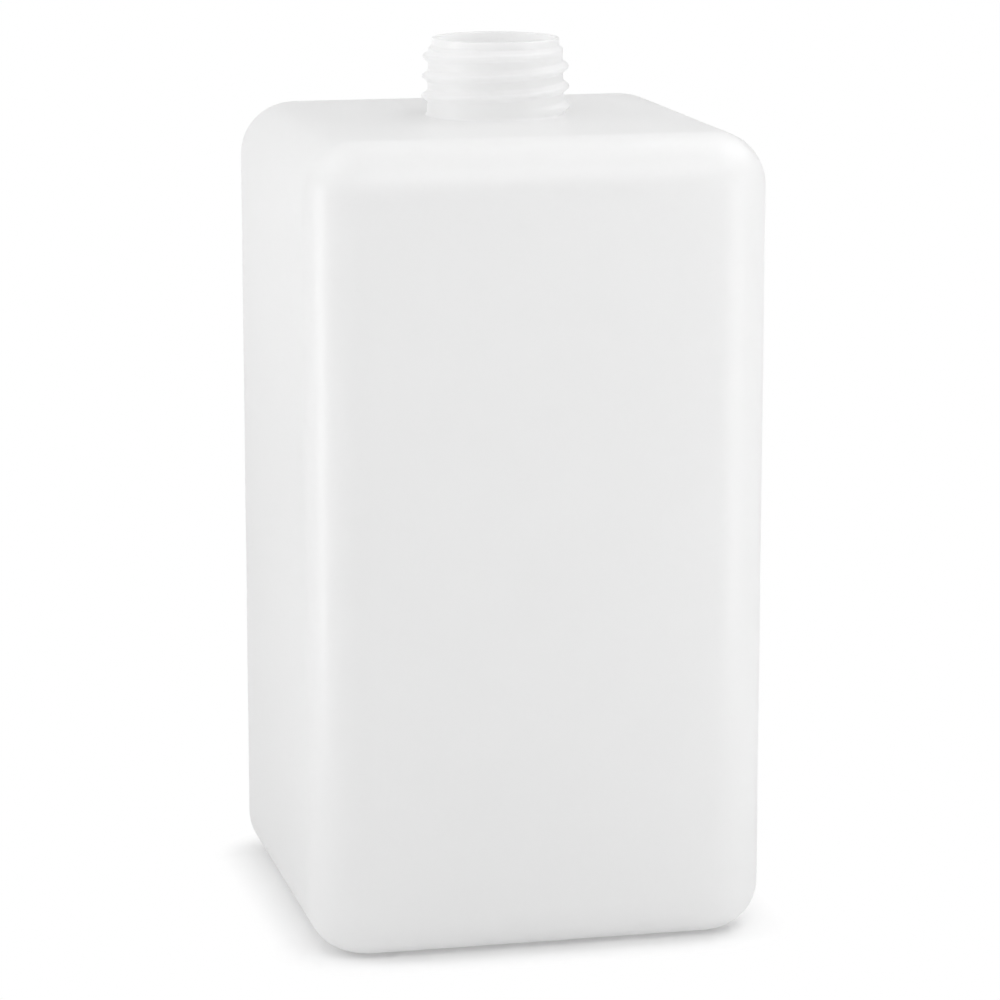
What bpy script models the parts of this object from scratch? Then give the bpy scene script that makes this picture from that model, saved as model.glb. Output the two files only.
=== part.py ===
"""Square narrow-neck bottle, blow-moulded in one piece from natural polyethylene.

The wall is one closed surface. A profile runs from the middle of the base up the outside
to the lip, over the lip and back down the inside. At each point of the profile the outline
of the bottle is a rounded square in the body and a circle in the neck. The thread is a
ridge that fades in and out along a helix, and it is joined to the neck by a Boolean, as is
the weld seam that the closing mould leaves under the base.
Units are metres, +Z is up, and the origin is under the middle of the base.
"""

import math

import bmesh
import bpy

# Body
BODY_WIDTH = 0.087
BODY_DEPTH = 0.087
BODY_HEIGHT = 0.1522  # floor to the edge of the shoulder
WALL = 0.0011
CORNER_RADIUS = 0.0117  # the four upright edges, seen from above
SHOULDER_RADIUS = 0.0102
SHOULDER_CROWN = 0.0004  # rise of the shoulder from its edge to the neck
HEEL_RADIUS = 0.0092
SHARPEST_CORNER = 0.0015  # least outline radius where the heel and shoulder run inwards

# Base
FOOT_WIDTH = 0.0040  # flat ring that the bottle stands on
FOOT_FILLET = 0.0020
PUSH_UP_RUN = 0.0060  # width of the slope between the foot and the raised panel
PUSH_UP_HEIGHT = 0.0030
PUSH_UP_FILLET = 0.0020
PUSH_UP_CORNER = 0.0090  # outline radius where the slope leaves the foot
SEAM_END_GAP = 0.0074  # from each end of the seam to the raised panel's corner
SEAM_WIDTH = 0.0012
SEAM_DEPTH = 0.0006
SEAM_EDGE = 0.0003

# Neck
NECK_HEIGHT = 0.0150  # edge of the shoulder to the lip
NECK_DIAMETER = 0.0253  # between the threads, at their upper end
NECK_DRAFT = 0.00035  # growth of the neck's radius from there to the shoulder
NECK_FILLET = 0.0006
LIP_SETBACK = 0.0006  # from the threaded part in to the lip
LIP_WALL = 0.0011
LIP_HEIGHT = 0.0015
LIP_STEP = 0.0005  # height of the cone between the threaded part and the lip
LIP_EDGE = 0.0003
BORE_EDGE = 0.00015
BORE_FLARE = 0.0020  # radius where the bore opens into the body

# Thread
THREAD_PITCH = 0.0037
THREAD_START_ANGLE = math.radians(-75)
THREAD_START_RISE = 0.0015  # middle of the ridge above the shoulder's edge where it starts
THREAD_END_DROP = 0.00065  # middle of the ridge below the threaded part's upper edge where it ends
THREAD_HEIGHT = 0.0011
THREAD_BASE = 0.0023
THREAD_CREST = 0.0006
THREAD_LOWER_FADE = math.radians(60)
THREAD_UPPER_FADE = math.radians(105)  # this last stretch runs level under the lip
THREAD_ROOT_DEPTH = 0.0004  # how deep the ridge's foot is sunk in the neck

# Fineness
CORNER_STEPS = 9  # edges in each quarter of an outline
ARC_STEP = math.radians(11.5)  # largest turn of the profile from one point to the next

OUTLINE_POINTS = 4 * (CORNER_STEPS + 1)
FOOT_INNER = BODY_WIDTH / 2 - HEEL_RADIUS - FOOT_WIDTH
PANEL_HALF = FOOT_INNER - PUSH_UP_RUN
DEPTH_EXCESS = (BODY_DEPTH - BODY_WIDTH) / 2  # half depth less half width, at every level of the body

LIP_TOP = BODY_HEIGHT + NECK_HEIGHT
NECK_BASE = BODY_HEIGHT + SHOULDER_CROWN
THREADED_TOP = LIP_TOP - LIP_HEIGHT - LIP_STEP
NECK_RADIUS = NECK_DIAMETER / 2
LIP_RADIUS = NECK_RADIUS - LIP_SETBACK
BORE_RADIUS = LIP_RADIUS - LIP_WALL

THREAD_START = BODY_HEIGHT + THREAD_START_RISE
THREAD_END = THREADED_TOP - THREAD_END_DROP
THREAD_ANGLE = (THREAD_END - THREAD_START) / THREAD_PITCH * 2 * math.pi + THREAD_UPPER_FADE


def clear_scene():
    for scene_object in list(bpy.data.objects):
        bpy.data.objects.remove(scene_object, do_unlink=True)


def new_collection(name):
    collection = bpy.data.collections.new(name)
    bpy.context.scene.collection.children.link(collection)
    return collection


def natural_polyethylene():
    material = bpy.data.materials.new("natural_polyethylene")
    material.use_nodes = True
    shader = material.node_tree.nodes["Principled BSDF"]
    shader.inputs["Base Color"].default_value = (0.84, 0.85, 0.85, 1.0)
    shader.inputs["Roughness"].default_value = 0.32
    shader.inputs["Metallic"].default_value = 0.0
    shader.inputs["Subsurface Weight"].default_value = 0.4
    return material


def body_outline(half_width):
    """Outline radius on the walls, the shoulder and the heel, which are offsets of one square."""
    return max(CORNER_RADIUS - (BODY_WIDTH / 2 - half_width), SHARPEST_CORNER)


def base_outline(half_width):
    """Outline radius on the slope and the raised panel of the base."""
    return max(PUSH_UP_CORNER + half_width - FOOT_INNER, SHARPEST_CORNER)


def round_outline(half_width):
    """Outline radius in the neck, whose outline is a circle."""
    return half_width


def outer_body_corners():
    """Corners of the outer profile as (half width, height, fillet, outline), from the middle of the base."""
    return [
        (0.0, PUSH_UP_HEIGHT, 0.0, base_outline),
        (PANEL_HALF, PUSH_UP_HEIGHT, PUSH_UP_FILLET, base_outline),
        (FOOT_INNER, 0.0, FOOT_FILLET, base_outline),
        (BODY_WIDTH / 2, 0.0, HEEL_RADIUS, body_outline),
        (BODY_WIDTH / 2, BODY_HEIGHT, SHOULDER_RADIUS, body_outline),
        (NECK_RADIUS + NECK_DRAFT, NECK_BASE, NECK_FILLET, round_outline),
    ]


def neck_corners():
    """Corners of the threaded part, the lip and the top of the bore, going up and over."""
    return [
        (NECK_RADIUS, THREADED_TOP, 0.0, round_outline),
        (LIP_RADIUS, THREADED_TOP + LIP_STEP, 0.0, round_outline),
        (LIP_RADIUS, LIP_TOP, LIP_EDGE, round_outline),
        (BORE_RADIUS, LIP_TOP, BORE_EDGE, round_outline),
    ]


def inner_corners():
    """Corners of the inside, from the foot of the bore down to the middle of the base."""
    body = offset_corners(outer_body_corners()[:-1], WALL)
    bore_foot = (BORE_RADIUS, NECK_BASE - WALL, BORE_FLARE, round_outline)
    return [bore_foot] + body[::-1]


def directions(points):
    """Unit direction of each stretch of a polyline of (half width, height) points."""
    found = []
    for (x0, z0), (x1, z1) in zip(points, points[1:]):
        length = math.hypot(x1 - x0, z1 - z0)
        found.append(((x1 - x0) / length, (z1 - z0) / length))
    return found


def turn_between(before, after):
    """Signed angle from one direction to the next, positive to the left."""
    cross = before[0] * after[1] - before[1] * after[0]
    dot = before[0] * after[0] + before[1] * after[1]
    return math.atan2(cross, dot)


def offset_corners(corners, distance):
    """The corners moved to the left of their path by a distance, with fillets that stay parallel."""
    runs = directions([corner[:2] for corner in corners])
    runs = [runs[0]] + runs + [runs[-1]]
    moved = []
    for index, (x, z, fillet, outline) in enumerate(corners):
        before, after = runs[index], runs[index + 1]
        turn = turn_between(before, after)
        along = distance * math.tan(turn / 2)
        moved_x = x - before[1] * distance - before[0] * along
        moved_z = z + before[0] * distance - before[1] * along
        moved_fillet = fillet - math.copysign(distance, turn) if fillet else 0.0
        moved.append((moved_x, moved_z, max(moved_fillet, 0.0), outline))
    return moved


def rounded_profile(corners):
    """Points (half width, height, outline) along the corners, with an arc in place of each fillet."""
    runs = directions([corner[:2] for corner in corners])
    x, z, _, outline = corners[0]
    points = [(x, z, outline)]
    for index in range(1, len(corners) - 1):
        x, z, fillet, outline = corners[index]
        before, after = runs[index - 1], runs[index]
        turn = turn_between(before, after)
        if not fillet:
            points.append((x, z, outline))
            continue
        tangent = fillet * math.tan(abs(turn) / 2)
        side = math.copysign(1.0, turn)
        start_x = x - before[0] * tangent
        start_z = z - before[1] * tangent
        centre_x = start_x - before[1] * fillet * side
        centre_z = start_z + before[0] * fillet * side
        steps = max(2, math.ceil(abs(turn) / ARC_STEP))
        for step in range(steps + 1):
            angle = turn * step / steps
            arm_x, arm_z = start_x - centre_x, start_z - centre_z
            arc_x = centre_x + arm_x * math.cos(angle) - arm_z * math.sin(angle)
            arc_z = centre_z + arm_x * math.sin(angle) + arm_z * math.cos(angle)
            points.append((arc_x, arc_z, outline))
    x, z, _, outline = corners[-1]
    points.append((x, z, outline))
    return points


def outline_points(half_width, height, outline):
    """One level of the bottle: a circle where the outline is round, and else a rounded rectangle."""
    if outline is round_outline:
        angles = [(index + 0.5) * 2 * math.pi / OUTLINE_POINTS for index in range(OUTLINE_POINTS)]
        return [(half_width * math.cos(a), half_width * math.sin(a), height) for a in angles]
    half_depth = half_width + DEPTH_EXCESS
    radius = outline(half_width)
    points = []
    for quarter in range(4):
        side_x = (1, -1, -1, 1)[quarter]
        side_y = (1, 1, -1, -1)[quarter]
        centre_x = side_x * (half_width - radius)
        centre_y = side_y * (half_depth - radius)
        for step in range(CORNER_STEPS + 1):
            angle = (quarter + step / CORNER_STEPS) * math.pi / 2
            points.append((centre_x + radius * math.cos(angle), centre_y + radius * math.sin(angle), height))
    return points


def join_rings(mesh, first, second):
    """Quads between two closed rings with as many vertices each."""
    count = len(first)
    for index in range(count):
        following = (index + 1) % count
        mesh.faces.new((first[index], first[following], second[following], second[index]))


def object_from(mesh, name, collection):
    """A new object in the collection, with its faces turned outwards."""
    bmesh.ops.recalc_face_normals(mesh, faces=mesh.faces)
    data = bpy.data.meshes.new(name)
    mesh.to_mesh(data)
    mesh.free()
    made = bpy.data.objects.new(name, data)
    collection.objects.link(made)
    return made


def make_wall(collection):
    """Body, shoulder, neck and lip with their hollow, as one closed wall."""
    profile = rounded_profile(outer_body_corners() + neck_corners() + inner_corners())
    mesh = bmesh.new()
    rings = []
    for half_width, height, outline in profile[1:-1]:
        rings.append([mesh.verts.new(point) for point in outline_points(half_width, height, outline)])
    for first, second in zip(rings, rings[1:]):
        join_rings(mesh, first, second)
    mesh.faces.new(rings[0])
    mesh.faces.new(rings[-1])
    return object_from(mesh, "bottle", collection)


def neck_radius(height):
    """Radius of the neck between the threads, which has a slight draft."""
    share = (THREADED_TOP - height) / (THREADED_TOP - NECK_BASE)
    return NECK_RADIUS + NECK_DRAFT * min(max(share, 0.0), 1.0)


def smooth_step(share):
    share = min(max(share, 0.0), 1.0)
    return share * share * (3 - 2 * share)


def thread_section(angle, mesh):
    """The ridge's four corners at an angle from its start, foot to crest to foot."""
    middle = min(THREAD_START + THREAD_PITCH * angle / (2 * math.pi), THREAD_END)
    lower = smooth_step(angle / THREAD_LOWER_FADE)
    upper = smooth_step((THREAD_ANGLE - angle) / THREAD_UPPER_FADE)
    fade = lower * upper
    root = neck_radius(middle)
    crest = root + THREAD_HEIGHT * fade - THREAD_ROOT_DEPTH / 2 * (1 - fade)
    foot = root - THREAD_ROOT_DEPTH
    half_crest = THREAD_CREST / 2
    flank = (THREAD_BASE / 2 - half_crest) / THREAD_HEIGHT
    half_foot = half_crest + flank * (crest - foot)
    around = THREAD_START_ANGLE + angle
    corners = ((foot, -half_foot), (crest, -half_crest), (crest, half_crest), (foot, half_foot))
    return [
        mesh.verts.new((radius * math.cos(around), radius * math.sin(around), middle + rise))
        for radius, rise in corners
    ]


def make_thread(collection):
    """The thread's ridge as a solid of its own, a loft between sections that grow and shrink."""
    mesh = bmesh.new()
    steps = round(THREAD_ANGLE / (2 * math.pi) * OUTLINE_POINTS)
    sections = [thread_section(THREAD_ANGLE * step / steps, mesh) for step in range(steps + 1)]
    for first, second in zip(sections, sections[1:]):
        join_rings(mesh, first, second)
    mesh.faces.new(sections[0])
    mesh.faces.new(sections[-1])
    return object_from(mesh, "thread_ridge", collection)


def make_seam(collection):
    """The low weld seam across the raised panel of the base, where the mould parts from corner to corner."""
    sunk = WALL / 2
    diagonal = math.hypot(PANEL_HALF, PANEL_HALF + DEPTH_EXCESS)
    length = 2 * (diagonal - SEAM_END_GAP)
    bpy.ops.mesh.primitive_cube_add(size=1.0)
    seam = bpy.context.active_object
    seam.name = "base_seam"
    seam.data.name = "base_seam"
    seam.scale = (length, SEAM_WIDTH, SEAM_DEPTH + sunk)
    bpy.ops.object.transform_apply(location=False, rotation=False, scale=True)
    seam.location.z = PUSH_UP_HEIGHT + (sunk - SEAM_DEPTH) / 2
    seam.rotation_euler.z = -math.atan2(PANEL_HALF + DEPTH_EXCESS, PANEL_HALF)
    bevel = seam.modifiers.new("rounded_edges", "BEVEL")
    bevel.width = SEAM_EDGE
    bevel.segments = 2
    for holder in list(seam.users_collection):
        holder.objects.unlink(seam)
    collection.objects.link(seam)
    return seam


def join_to(base, helper):
    """Joins a helper to the object with a Boolean, and keeps the helper out of the render."""
    union = base.modifiers.new("join_" + helper.name, "BOOLEAN")
    union.operation = "UNION"
    union.solver = "EXACT"
    union.object = helper
    helper.hide_render = True
    helper.display_type = "WIRE"


def main():
    clear_scene()
    parts = new_collection("narrow_neck_bottle")
    helpers = new_collection("joined_shapes")
    bottle = make_wall(parts)
    join_to(bottle, make_thread(helpers))
    join_to(bottle, make_seam(helpers))
    bottle.data.materials.append(natural_polyethylene())
    bottle.data.shade_smooth()
    bottle.data.set_sharp_from_angle(angle=math.radians(35))


main()
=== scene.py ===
"""Looks of the square narrow-neck bottle in natural polyethylene.

The bottle is one fine closed wall with a rounded thread, slightly uneven as a blown wall is.
It stands on a white floor among five soft lights, inside a pale curved backdrop.
Units are metres, +Z is up, and the origin is under the middle of the base.
"""

import math

import bpy
import numpy as np
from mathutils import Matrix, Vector


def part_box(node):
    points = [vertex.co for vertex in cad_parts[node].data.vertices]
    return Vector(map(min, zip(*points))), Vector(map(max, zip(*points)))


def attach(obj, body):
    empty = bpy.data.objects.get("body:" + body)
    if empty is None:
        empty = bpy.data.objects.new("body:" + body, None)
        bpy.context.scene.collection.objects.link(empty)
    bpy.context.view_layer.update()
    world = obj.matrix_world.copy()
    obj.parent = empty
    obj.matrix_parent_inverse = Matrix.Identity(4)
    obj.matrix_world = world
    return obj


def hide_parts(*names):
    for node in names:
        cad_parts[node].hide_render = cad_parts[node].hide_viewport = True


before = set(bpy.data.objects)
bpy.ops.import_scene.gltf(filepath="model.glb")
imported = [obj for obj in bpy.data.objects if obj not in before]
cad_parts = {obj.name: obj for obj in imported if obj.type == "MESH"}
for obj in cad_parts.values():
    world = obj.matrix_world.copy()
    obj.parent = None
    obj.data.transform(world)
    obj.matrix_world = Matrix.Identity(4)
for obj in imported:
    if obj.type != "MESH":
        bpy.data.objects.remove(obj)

CAD_LOW, CAD_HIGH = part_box("bottle")
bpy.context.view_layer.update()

# Body
BODY_WIDTH = CAD_HIGH.x - CAD_LOW.x
LIP_TOP = CAD_HIGH.z
NECK_HEIGHT = 0.0150
BODY_HEIGHT = LIP_TOP - NECK_HEIGHT
WALL = 0.0011
CORNER_RADIUS = 0.0117
SHOULDER_RADIUS = 0.0102
SHOULDER_CROWN = 0.0004
HEEL_RADIUS = 0.0092
SHARPEST_CORNER = 0.0015

# Base
FOOT_WIDTH = 0.0040
FOOT_FILLET = 0.0020
PUSH_UP_RUN = 0.0060
PUSH_UP_HEIGHT = 0.0030
PUSH_UP_FILLET = 0.0020
PUSH_UP_CORNER = 0.0090
SEAM_HALF_LENGTH = 0.0270
SEAM_HALF_WIDTH = 0.0006
SEAM_DEPTH = 0.0006
SEAM_STEEPNESS = 1.6

# Neck
NECK_RADIUS = 0.01265
NECK_DRAFT = 0.00035
NECK_FILLET = 0.0006
LIP_INSET = 0.0006
LIP_WIDTH = 0.0011
LIP_RADIUS = NECK_RADIUS - LIP_INSET
BORE_RADIUS = LIP_RADIUS - LIP_WIDTH
LIP_HEIGHT = 0.0015
LIP_STEP = 0.0005
LIP_EDGE = 0.0003
BORE_EDGE = 0.00015
BORE_FLARE = 0.0020
NECK_BASE = BODY_HEIGHT + SHOULDER_CROWN
THREADED_TOP = LIP_TOP - LIP_HEIGHT - LIP_STEP

# Thread
THREAD_PITCH = 0.0037
THREAD_START_ANGLE = math.radians(-75)
THREAD_START_GAP = 0.0015
THREAD_END_GAP = 0.00065
THREAD_START = BODY_HEIGHT + THREAD_START_GAP
THREAD_END = THREADED_TOP - THREAD_END_GAP
THREAD_HEIGHT = 0.0011
THREAD_CREST = 0.0006
THREAD_BASE = 0.0024
THREAD_LOWER_FADE = math.radians(60)
THREAD_UPPER_FADE = math.radians(105)
THREAD_ANGLE = (THREAD_END - THREAD_START) / THREAD_PITCH * 2 * math.pi + THREAD_UPPER_FADE

# Fineness of the surface
CORNER_POINTS = 24
SIDE_POINTS = 16
RING_POINTS = 4 * (CORNER_POINTS + SIDE_POINTS)
ARC_STEP = math.radians(6)
WALL_STEP = 0.0025
SHOULDER_STEP = 0.0010
NECK_STEP = 0.00011
INSIDE_STEP = 0.0035

# Unevenness of the blown wall
OUTER_WAVE = 0.00012
OUTER_WAVE_LENGTHS = (0.061, 0.043, 0.055, 0.034, 0.028)
OUTER_WAVE_SEED = 3
INNER_WAVE = 0.00022
INNER_WAVE_LENGTHS = (0.047, 0.039, 0.026, 0.021, 0.017)
INNER_WAVE_SEED = 8
SHOULDER_CALM = 0.6
EVEN_AROUND_NECK = 0.0020
NECK_FADE = 0.0080

# Plastic
PLASTIC_IOR = 1.54
DARKER_PLASTIC = (0.955, 0.955, 0.955, 1.0)
PALER_PLASTIC = (0.975, 0.975, 0.975, 1.0)
SMOOTHEST = 0.28
ROUGHEST = 0.34
LET_THROUGH = 0.65
THROUGH_COLOUR = (0.99, 0.99, 0.99, 1.0)
SKIN_ROUGHNESS = 0.31
CLOUDS_PER_METRE = 18.0
CLOUD_DETAIL = 3.0
LINES_PER_METRE = 420.0
LINE_STRETCH = 0.02
GRAIN_PER_METRE = 2600.0
FINE_DETAIL = 2.0
NOISE_LOW = 0.25
NOISE_HIGH = 0.75
GRAIN_DEPTH = 0.00001
LINE_DEPTH = 0.00002

# Floor and backdrop
FLOOR_SIDE = 16.0
FLOOR_COLOUR = (0.90, 0.90, 0.90, 1.0)
FLOOR_GLOW = 0.02
SEEN_WHITE_FROM = 0.009
SEEN_WHITE_BY = 0.019
MIRRORED_WHITE_FROM = 0.25
MIRRORED_WHITE_BY = 0.90
BACKDROP_COLOUR = (0.95, 0.95, 0.95, 1.0)
BACKDROP_START = math.radians(-150)
BACKDROP_END = math.radians(180)
BACKDROP_PANELS = 66
BACKDROP_RADIUS = 1.2
BACKDROP_HEIGHT = 0.55

# Light
ROOM_LIGHT = 0.50
LAMP_AIM = Vector((0.0, 0.0, 0.08))
# Each lamp: azimuth in degrees from the front, distance, height, width, length and power
LAMPS = {
    "left_light": (272, 0.28, 0.10, 0.10, 0.20, 0.20),
    "right_light": (50, 0.28, 0.10, 0.13, 0.20, 0.15),
    "front_light": (0, 0.45, 0.55, 0.70, 0.30, 1.17),
    "high_left_light": (265, 0.32, 0.52, 0.40, 0.40, 0.63),
    "high_right_light": (95, 0.32, 0.52, 0.40, 0.40, 1.00),
}

# Camera
LOOK_AT = Vector((0.0, -0.0039, 0.0787))
CAMERA_DISTANCE = 0.7894
CAMERA_AZIMUTH = math.radians(-13.02)
CAMERA_ELEVATION = math.radians(11.71)
LENS = 147.8
SENSOR_WIDTH = 36.0


def body_outline(half_width):
    """Corner radius of the outline on the walls, the shoulder and the heel."""
    return max(CORNER_RADIUS - (BODY_WIDTH / 2 - half_width), SHARPEST_CORNER)


def base_outline(half_width):
    """Corner radius of the outline on the slope and the raised panel of the base."""
    foot_inner = BODY_WIDTH / 2 - HEEL_RADIUS - FOOT_WIDTH
    return max(PUSH_UP_CORNER + half_width - foot_inner, SHARPEST_CORNER)


def round_outline(half_width):
    """The neck's outline is a circle."""
    return half_width


def outer_corners():
    """Outer profile from the middle of the base to the neck.

    Each corner has a half width, a height, a fillet, an outline and a step between rings.
    """
    half = BODY_WIDTH / 2
    foot_inner = half - HEEL_RADIUS - FOOT_WIDTH
    return [
        (0.0, PUSH_UP_HEIGHT, 0.0, base_outline, WALL_STEP),
        (foot_inner - PUSH_UP_RUN, PUSH_UP_HEIGHT, PUSH_UP_FILLET, base_outline, SHOULDER_STEP),
        (foot_inner, 0.0, FOOT_FILLET, base_outline, SHOULDER_STEP),
        (half, 0.0, HEEL_RADIUS, body_outline, WALL_STEP),
        (half, BODY_HEIGHT, SHOULDER_RADIUS, body_outline, SHOULDER_STEP),
        (NECK_RADIUS + NECK_DRAFT, NECK_BASE, NECK_FILLET, round_outline, NECK_STEP),
    ]


def lip_corners():
    """Profile of the threaded part, the lip and the top of the bore."""
    return [
        (NECK_RADIUS, THREADED_TOP, 0.0, round_outline, NECK_STEP),
        (LIP_RADIUS, THREADED_TOP + LIP_STEP, 0.0, round_outline, NECK_STEP * 2),
        (LIP_RADIUS, LIP_TOP, LIP_EDGE, round_outline, NECK_STEP * 2),
        (BORE_RADIUS, LIP_TOP, BORE_EDGE, round_outline, SHOULDER_STEP),
    ]


def inner_corners():
    """Profile of the inside, from the foot of the bore down to the middle of the base."""
    body = offset_corners(outer_corners()[:-1], WALL)
    bore_foot = (BORE_RADIUS, NECK_BASE - WALL, BORE_FLARE, round_outline, INSIDE_STEP)
    return [bore_foot] + [corner[:4] + (INSIDE_STEP,) for corner in body[::-1]]


def directions(points):
    """Unit direction of each stretch of a polyline of (half width, height) points."""
    found = []
    for (x0, z0), (x1, z1) in zip(points, points[1:]):
        length = math.hypot(x1 - x0, z1 - z0)
        found.append(((x1 - x0) / length, (z1 - z0) / length))
    return found


def turn_between(before, after):
    """Signed angle from one direction to the next, positive to the left."""
    cross = before[0] * after[1] - before[1] * after[0]
    dot = before[0] * after[0] + before[1] * after[1]
    return math.atan2(cross, dot)


def offset_corners(corners, distance):
    """The corners moved to the left of their path by a distance, with fillets that stay parallel."""
    runs = directions([corner[:2] for corner in corners])
    runs = [runs[0]] + runs + [runs[-1]]
    moved = []
    for index, (x, z, fillet, outline, step) in enumerate(corners):
        before, after = runs[index], runs[index + 1]
        turn = turn_between(before, after)
        along = distance * math.tan(turn / 2)
        moved_x = x - before[1] * distance - before[0] * along
        moved_z = z + before[0] * distance - before[1] * along
        moved_fillet = fillet - math.copysign(distance, turn) if fillet else 0.0
        moved.append((moved_x, moved_z, max(moved_fillet, 0.0), outline, step))
    return moved


def rounded_profile(corners):
    """Points (half width, height, outline, step) along the corners, with an arc for each fillet."""
    runs = directions([corner[:2] for corner in corners])
    points = [(corners[0][0], corners[0][1], corners[0][3], corners[0][4])]
    for index in range(1, len(corners) - 1):
        x, z, fillet, outline, step = corners[index]
        before, after = runs[index - 1], runs[index]
        turn = turn_between(before, after)
        if not fillet:
            points.append((x, z, outline, step))
            continue
        tangent = fillet * math.tan(abs(turn) / 2)
        side = math.copysign(1.0, turn)
        start_x = x - before[0] * tangent
        start_z = z - before[1] * tangent
        centre_x = start_x - before[1] * fillet * side
        centre_z = start_z + before[0] * fillet * side
        steps = max(3, math.ceil(abs(turn) / ARC_STEP))
        for count in range(steps + 1):
            angle = turn * count / steps
            arm_x, arm_z = start_x - centre_x, start_z - centre_z
            arc_x = centre_x + arm_x * math.cos(angle) - arm_z * math.sin(angle)
            arc_z = centre_z + arm_x * math.sin(angle) + arm_z * math.cos(angle)
            points.append((arc_x, arc_z, outline, step))
    points.append((corners[-1][0], corners[-1][1], corners[-1][3], corners[-1][4]))
    return points


def square_ring(half_width, radius):
    """Points of a rounded square seen from above, anticlockwise."""
    points = []
    for quarter in range(4):
        side_x = (1, -1, -1, 1)[quarter]
        side_y = (1, 1, -1, -1)[quarter]
        centre = np.array((side_x, side_y)) * (half_width - radius)
        for step in range(CORNER_POINTS):
            angle = (quarter + step / (CORNER_POINTS - 1)) * math.pi / 2
            points.append(centre + radius * np.array((math.cos(angle), math.sin(angle))))
        turn = np.array(((0, -1), (1, 0)))
        following = turn @ (points[-CORNER_POINTS])
        last = points[-1]
        for step in range(1, SIDE_POINTS + 1):
            points.append(last + (following - last) * step / (SIDE_POINTS + 1))
    return np.array(points)


def circle_ring(radius):
    """Points of a circle, spread evenly and facing the points of the rounded square."""
    middle = (CORNER_POINTS - 1) / 2
    angles = math.pi / 4 + (np.arange(RING_POINTS) - middle) * 2 * math.pi / RING_POINTS
    return radius * np.stack((np.cos(angles), np.sin(angles)), axis=-1)


def ring_at(half_width, height, outline):
    """One level of the bottle as an array of points."""
    if outline is round_outline:
        flat = circle_ring(half_width)
    else:
        flat = square_ring(half_width, min(outline(half_width), half_width))
    return np.column_stack((flat, np.full(len(flat), height)))


def smooth_step(share):
    share = np.clip(share, 0.0, 1.0)
    return share * share * (3 - 2 * share)


def levels_of(profile):
    """Rings along the profile, with further rings between those that lie far apart."""
    levels = []
    for first, second in zip(profile, profile[1:]):
        start = ring_at(*first[:3]) if first[0] else np.tile((0.0, 0.0, first[1]), (RING_POINTS, 1))
        end = ring_at(*second[:3]) if second[0] else np.tile((0.0, 0.0, second[1]), (RING_POINTS, 1))
        length = math.hypot(second[0] - first[0], second[1] - first[1])
        count = max(1, math.ceil(length / first[3]))
        for step in range(count):
            levels.append(start + (end - start) * step / count)
    levels.append(end)
    return np.array(levels)


def thread_growth(angles, heights):
    """How far the thread's ridge stands out of the neck at each angle and height."""
    growth = np.zeros_like(heights)
    turns = math.ceil(THREAD_ANGLE / (2 * math.pi)) + 1
    from_start = (angles - THREAD_START_ANGLE) % (2 * math.pi)
    for turn in range(turns):
        along = from_start + turn * 2 * math.pi
        middle = np.minimum(THREAD_START + THREAD_PITCH * along / (2 * math.pi), THREAD_END)
        lower_fade = smooth_step(along / THREAD_LOWER_FADE)
        upper_fade = smooth_step((THREAD_ANGLE - along) / THREAD_UPPER_FADE)
        away = np.abs(heights - middle)
        flank = smooth_step((THREAD_BASE / 2 - away) / (THREAD_BASE / 2 - THREAD_CREST / 4))
        growth = np.maximum(growth, THREAD_HEIGHT * lower_fade * upper_fade * flank)
    return growth


def add_thread(levels, outside):
    """Pushes the threaded part of the neck outwards along the ridge."""
    x, y, z = (levels[:outside, :, axis] for axis in range(3))
    radius = np.hypot(x, y)
    on_neck = (z > NECK_BASE) & (z < THREADED_TOP + LIP_STEP) & (radius < NECK_RADIUS + 2 * NECK_FILLET)
    growth = np.where(on_neck, thread_growth(np.arctan2(y, x), z), 0.0)
    factor = 1 + growth / np.maximum(radius, BORE_RADIUS)
    levels[:outside, :, 0] *= factor
    levels[:outside, :, 1] *= factor


def add_seam(levels, outside):
    """Lowers a rounded ridge along the diagonal of the base, where the mould pinched the tube shut."""
    x, y, z = (levels[:outside, :, axis] for axis in range(3))
    along = (x - y) / math.sqrt(2)
    across = (x + y) / math.sqrt(2)
    ridge = smooth_step((SEAM_HALF_WIDTH - np.abs(across)) / SEAM_HALF_WIDTH * SEAM_STEEPNESS)
    ends = smooth_step((SEAM_HALF_LENGTH - np.abs(along)) / (2 * SEAM_HALF_WIDTH))
    under = z < PUSH_UP_HEIGHT + WALL / 2
    levels[:outside, :, 2] -= np.where(under, SEAM_DEPTH * ridge * ends, 0.0)


def normals_of(levels):
    """Unit normals of the grid of rings, pointing out of the plastic."""
    around = np.roll(levels, -1, axis=1) - np.roll(levels, 1, axis=1)
    along = np.gradient(levels, axis=0)
    normals = np.cross(around, along)
    return normals / np.maximum(np.linalg.norm(normals, axis=2, keepdims=True), 1e-15)


def waves(points, lengths, seed):
    """A smooth uneven field between -1 and 1, as a few crossing waves of given lengths."""
    random = np.random.default_rng(seed)
    total = np.zeros(points.shape[:2])
    for length in lengths:
        direction = random.normal(size=3)
        direction /= np.linalg.norm(direction)
        total += np.sin(points @ direction * 2 * math.pi / length + random.uniform(0, 2 * math.pi))
    return total / len(lengths)


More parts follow.
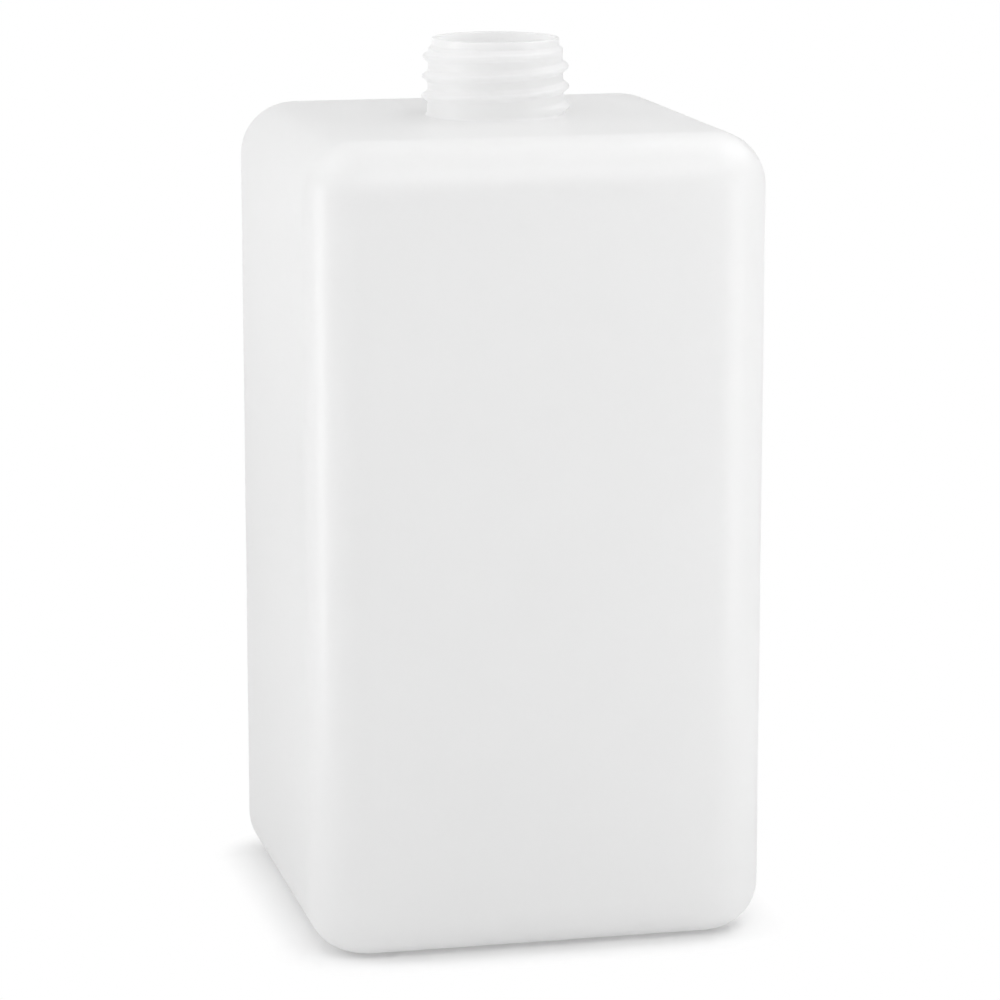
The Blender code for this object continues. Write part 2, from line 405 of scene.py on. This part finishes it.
def make_uneven(levels, outside):
    """Lets the outer surface sink a little here and there, and varies the wall's thickness."""
    normals = normals_of(levels)
    radius = np.hypot(levels[:, :, 0], levels[:, :, 1])
    height = levels[:, :, 2]
    clear_of_neck = smooth_step((radius - NECK_RADIUS - EVEN_AROUND_NECK) / NECK_FADE)
    clear_of_neck = np.where(height < BODY_HEIGHT - SHOULDER_RADIUS, 1.0, clear_of_neck)
    clear_of_floor = smooth_step(height / HEEL_RADIUS)
    near_shoulder = smooth_step((height - BODY_HEIGHT + 2 * SHOULDER_RADIUS) / SHOULDER_RADIUS)
    calmer_shoulder = 1.0 - SHOULDER_CALM * near_shoulder
    share = (clear_of_neck * clear_of_floor * calmer_shoulder)[:, :, None]
    outer = -OUTER_WAVE * (0.5 + 0.5 * waves(levels, OUTER_WAVE_LENGTHS, OUTER_WAVE_SEED))
    inner = INNER_WAVE * waves(levels, INNER_WAVE_LENGTHS, INNER_WAVE_SEED)
    field = np.where(np.arange(len(levels))[:, None] < outside, outer, inner)[:, :, None]
    levels += normals * field * share


def mesh_from(levels, name):
    """A closed mesh through the rings, whose first and last ring have shrunk to a point."""
    rings = levels[1:-1]
    count = len(rings)
    points = [tuple(levels[0, 0])] + [tuple(p) for p in rings.reshape(-1, 3)] + [tuple(levels[-1, 0])]
    last = len(points) - 1
    faces = []
    for index in range(RING_POINTS):
        following = (index + 1) % RING_POINTS
        faces.append((0, 1 + following, 1 + index))
        for level in range(count - 1):
            low = 1 + level * RING_POINTS
            high = low + RING_POINTS
            faces.append((low + index, low + following, high + following, high + index))
        top = 1 + (count - 1) * RING_POINTS
        faces.append((last, top + index, top + following))
    data = bpy.data.meshes.new(name)
    data.from_pydata(points, [], faces)
    data.validate()
    data.shade_smooth()
    made = bpy.data.objects.new(name, data)
    bpy.context.scene.collection.objects.link(made)
    return made


def make_bottle():
    outer = rounded_profile(outer_corners() + lip_corners())[:-1]
    whole = rounded_profile(outer_corners() + lip_corners() + inner_corners())
    levels = levels_of(whole)
    outside = len(levels_of(outer))
    make_uneven(levels, outside)
    add_thread(levels, outside)
    add_seam(levels, outside)
    bottle = mesh_from(levels, "blown_bottle")
    bottle.data.materials.append(milky_polyethylene())
    return bottle


def node(tree, kind, **settings):
    made = tree.nodes.new(kind)
    for name, value in settings.items():
        setattr(made, name, value)
    return made


def noise(tree, place, scale, detail):
    """Noise texture at a number of patches per metre."""
    made = node(tree, "ShaderNodeTexNoise")
    made.inputs["Scale"].default_value = scale
    made.inputs["Detail"].default_value = detail
    tree.links.new(place, made.inputs["Vector"])
    return made.outputs["Fac"]


def ranged(tree, value, low, high):
    """Spreads a noise value over a range."""
    made = node(tree, "ShaderNodeMapRange")
    made.inputs["From Min"].default_value = NOISE_LOW
    made.inputs["From Max"].default_value = NOISE_HIGH
    made.inputs["To Min"].default_value = low
    made.inputs["To Max"].default_value = high
    tree.links.new(value, made.inputs["Value"])
    return made.outputs["Result"]


def bump(tree, height, depth, below=None):
    """Normal of a relief of the given depth, over an earlier relief."""
    made = node(tree, "ShaderNodeBump")
    made.inputs["Distance"].default_value = depth
    tree.links.new(height, made.inputs["Height"])
    if below:
        tree.links.new(below, made.inputs["Normal"])
    return made.outputs["Normal"]


def mixed(tree, share, first, second):
    """Shader that goes from the first to the second as share goes from 0 to 1."""
    made = node(tree, "ShaderNodeMixShader")
    tree.links.new(share, made.inputs[0])
    tree.links.new(first, made.inputs[1])
    tree.links.new(second, made.inputs[2])
    return made.outputs[0]


def calculated(tree, operation, first, second, clamped=False):
    """Result of a sum with two values, each a number or an output."""
    made = node(tree, "ShaderNodeMath", operation=operation, use_clamp=clamped)
    for place, value in enumerate((first, second)):
        if isinstance(value, float):
            made.inputs[place].default_value = value
        else:
            tree.links.new(value, made.inputs[place])
    return made.outputs[0]


def milky_polyethylene():
    """Milky plastic that lets most of the light on each face through, under a satin skin.

    The skin makes up for the gloss that the see-through share lacks. Faint clouds and lines drawn
    along the height break up the surface.
    """
    material = bpy.data.materials.new("milky_polyethylene")
    material.use_nodes = True
    tree = material.node_tree
    shader = tree.nodes["Principled BSDF"]
    shader.inputs["IOR"].default_value = PLASTIC_IOR
    shader.inputs["Coat Weight"].default_value = 1.0
    shader.inputs["Coat Roughness"].default_value = SKIN_ROUGHNESS
    place = node(tree, "ShaderNodeTexCoord").outputs["Object"]
    drawn = node(tree, "ShaderNodeMapping")
    drawn.inputs["Scale"].default_value = (1.0, 1.0, LINE_STRETCH)
    tree.links.new(place, drawn.inputs["Vector"])
    clouds = noise(tree, place, CLOUDS_PER_METRE, CLOUD_DETAIL)
    lines = noise(tree, drawn.outputs["Vector"], LINES_PER_METRE, FINE_DETAIL)
    grain = noise(tree, place, GRAIN_PER_METRE, FINE_DETAIL)
    colour = node(tree, "ShaderNodeMix", data_type="RGBA")
    colour.inputs["A"].default_value = DARKER_PLASTIC
    colour.inputs["B"].default_value = PALER_PLASTIC
    tree.links.new(clouds, colour.inputs["Factor"])
    tree.links.new(colour.outputs["Result"], shader.inputs["Base Color"])
    tree.links.new(ranged(tree, clouds, SMOOTHEST, ROUGHEST), shader.inputs["Roughness"])
    relief = bump(tree, grain, GRAIN_DEPTH, bump(tree, lines, LINE_DEPTH))
    tree.links.new(relief, shader.inputs["Normal"])
    tree.links.new(relief, shader.inputs["Coat Normal"])
    through = node(tree, "ShaderNodeBsdfTranslucent")
    through.inputs["Color"].default_value = THROUGH_COLOUR
    wall = node(tree, "ShaderNodeMixShader")
    wall.inputs[0].default_value = LET_THROUGH
    tree.links.new(shader.outputs[0], wall.inputs[1])
    tree.links.new(through.outputs[0], wall.inputs[2])
    tree.links.new(wall.outputs[0], tree.nodes["Material Output"].inputs["Surface"])
    return material


def white_rays(tree):
    """1 for the rays that show the background: the camera's, mirrored ones and those through glass.

    Light that the plastic scatters as it lets it through counts as diffuse, and isn't among them.
    """
    path = node(tree, "ShaderNodeLightPath")
    seen = path.outputs["Is Camera Ray"]
    for name in ("Is Glossy Ray", "Is Transmission Ray"):
        seen = calculated(tree, "MAXIMUM", seen, path.outputs[name])
    return calculated(tree, "SUBTRACT", seen, path.outputs["Is Diffuse Ray"], clamped=True)


def way_from_core(tree):
    """Distance on the floor from the square that the bottle's corner radii surround."""
    core = BODY_WIDTH / 2 - CORNER_RADIUS
    place = node(tree, "ShaderNodeNewGeometry").outputs["Position"]
    steps = (("ABSOLUTE", None), ("SUBTRACT", (core, core, 0.0)), ("MAXIMUM", (0.0, 0.0, 0.0)))
    for operation, value in steps:
        made = node(tree, "ShaderNodeVectorMath", operation=operation)
        tree.links.new(place, made.inputs[0])
        if value:
            made.inputs[1].default_value = value
        place = made.outputs["Vector"]
    distance = node(tree, "ShaderNodeVectorMath", operation="LENGTH")
    tree.links.new(place, distance.inputs[0])
    return distance.outputs["Value"]


def far_share(tree, start, end):
    """0 on the floor under and beside the bottle, 1 farther away."""
    share = node(tree, "ShaderNodeMapRange", interpolation_type="SMOOTHSTEP")
    share.inputs["From Min"].default_value = start
    share.inputs["From Max"].default_value = end
    tree.links.new(way_from_core(tree), share.inputs["Value"])
    return share.outputs["Result"]


def white_share(tree, shown):
    """How far the floor turns white: soon for the camera, farther out in what the bottle mirrors."""
    camera = node(tree, "ShaderNodeLightPath").outputs["Is Camera Ray"]
    seen = calculated(tree, "MULTIPLY", camera, far_share(tree, SEEN_WHITE_FROM, SEEN_WHITE_BY))
    around = far_share(tree, MIRRORED_WHITE_FROM, MIRRORED_WHITE_BY)
    return calculated(tree, "MAXIMUM", seen, calculated(tree, "MULTIPLY", shown, around))


def white_floor():
    """Matt white that keeps the shadow near the bottle, is pure white to the camera farther away,
    and lets a camera below it see through."""
    material = bpy.data.materials.new("white_floor")
    material.use_nodes = True
    tree = material.node_tree
    tree.nodes.clear()
    shown = white_rays(tree)
    matt = node(tree, "ShaderNodeBsdfDiffuse")
    matt.inputs["Color"].default_value = FLOOR_COLOUR
    glow = node(tree, "ShaderNodeEmission")
    tree.links.new(calculated(tree, "MULTIPLY", shown, FLOOR_GLOW), glow.inputs["Strength"])
    near = node(tree, "ShaderNodeAddShader")
    tree.links.new(matt.outputs[0], near.inputs[0])
    tree.links.new(glow.outputs[0], near.inputs[1])
    white = node(tree, "ShaderNodeEmission")
    top = mixed(tree, white_share(tree, shown), near.outputs[0], white.outputs[0])
    below = node(tree, "ShaderNodeNewGeometry").outputs["Backfacing"]
    both = mixed(tree, below, top, node(tree, "ShaderNodeBsdfTransparent").outputs[0])
    tree.links.new(both, node(tree, "ShaderNodeOutputMaterial").inputs["Surface"])
    return material


def make_floor():
    half = FLOOR_SIDE / 2
    data = bpy.data.meshes.new("floor")
    corners = [(-half, -half, 0.0), (half, -half, 0.0), (half, half, 0.0), (-half, half, 0.0)]
    data.from_pydata(corners, [], [(0, 1, 2, 3)])
    data.materials.append(white_floor())
    floor = bpy.data.objects.new("floor", data)
    bpy.context.scene.collection.objects.link(floor)


def make_backdrop():
    """A pale curved sheet around the bottle, open behind its left side, that only the bottle mirrors."""
    material = bpy.data.materials.new("pale_backdrop")
    material.use_nodes = True
    tree = material.node_tree
    tree.nodes.clear()
    matt = node(tree, "ShaderNodeBsdfDiffuse")
    matt.inputs["Color"].default_value = BACKDROP_COLOUR
    tree.links.new(matt.outputs[0], node(tree, "ShaderNodeOutputMaterial").inputs["Surface"])
    corners = []
    for azimuth in np.linspace(BACKDROP_START, BACKDROP_END, BACKDROP_PANELS + 1):
        x = math.sin(azimuth) * BACKDROP_RADIUS
        y = -math.cos(azimuth) * BACKDROP_RADIUS
        corners += [(x, y, 0.0), (x, y, BACKDROP_HEIGHT)]
    faces = [(2 * panel, 2 * panel + 2, 2 * panel + 3, 2 * panel + 1) for panel in range(BACKDROP_PANELS)]
    data = bpy.data.meshes.new("backdrop")
    data.from_pydata(corners, [], faces)
    data.materials.append(material)
    backdrop = bpy.data.objects.new("backdrop", data)
    backdrop.visible_camera = False
    bpy.context.scene.collection.objects.link(backdrop)


def background(tree, strength):
    made = node(tree, "ShaderNodeBackground")
    made.inputs["Color"].default_value = (1.0, 1.0, 1.0, 1.0)
    made.inputs["Strength"].default_value = strength
    return made.outputs[0]


def make_world():
    """Even soft light, with a white background for the camera and for what the bottle mirrors."""
    world = bpy.data.worlds.new("studio")
    bpy.context.scene.world = world
    world.use_nodes = True
    tree = world.node_tree
    tree.nodes.clear()
    both = mixed(tree, white_rays(tree), background(tree, ROOM_LIGHT), background(tree, 1.0))
    tree.links.new(both, node(tree, "ShaderNodeOutputWorld").inputs["Surface"])


def soft_light(name, azimuth, distance, height, width, length, power):
    """A rectangular soft light at an azimuth from the front, turned towards the bottle."""
    angle = math.radians(azimuth)
    data = bpy.data.lights.new(name, "AREA")
    data.shape = "RECTANGLE"
    data.size = width
    data.size_y = length
    data.energy = power
    light = bpy.data.objects.new(name, data)
    light.location = (math.sin(angle) * distance, -math.cos(angle) * distance, height)
    light.rotation_euler = (LAMP_AIM - light.location).to_track_quat("-Z", "Y").to_euler()
    light.visible_camera = False
    bpy.context.scene.collection.objects.link(light)


def make_lights():
    for name, settings in LAMPS.items():
        soft_light(name, *settings)


def make_camera():
    data = bpy.data.cameras.new("camera")
    data.lens = LENS
    data.sensor_width = SENSOR_WIDTH
    camera = bpy.data.objects.new("camera", data)
    across = math.cos(CAMERA_ELEVATION)
    back = Vector((
        math.sin(CAMERA_AZIMUTH) * across,
        -math.cos(CAMERA_AZIMUTH) * across,
        math.sin(CAMERA_ELEVATION),
    ))
    camera.location = LOOK_AT + back * CAMERA_DISTANCE
    camera.rotation_euler = (-back).to_track_quat("-Z", "Y").to_euler()
    bpy.context.scene.collection.objects.link(camera)
    bpy.context.scene.camera = camera


def main():
    bpy.context.scene.view_settings.view_transform = "Standard"
    bottle = make_bottle()
    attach(bottle, "root")
    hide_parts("bottle")
    make_floor()
    make_backdrop()
    make_world()
    make_lights()
    make_camera()


main()
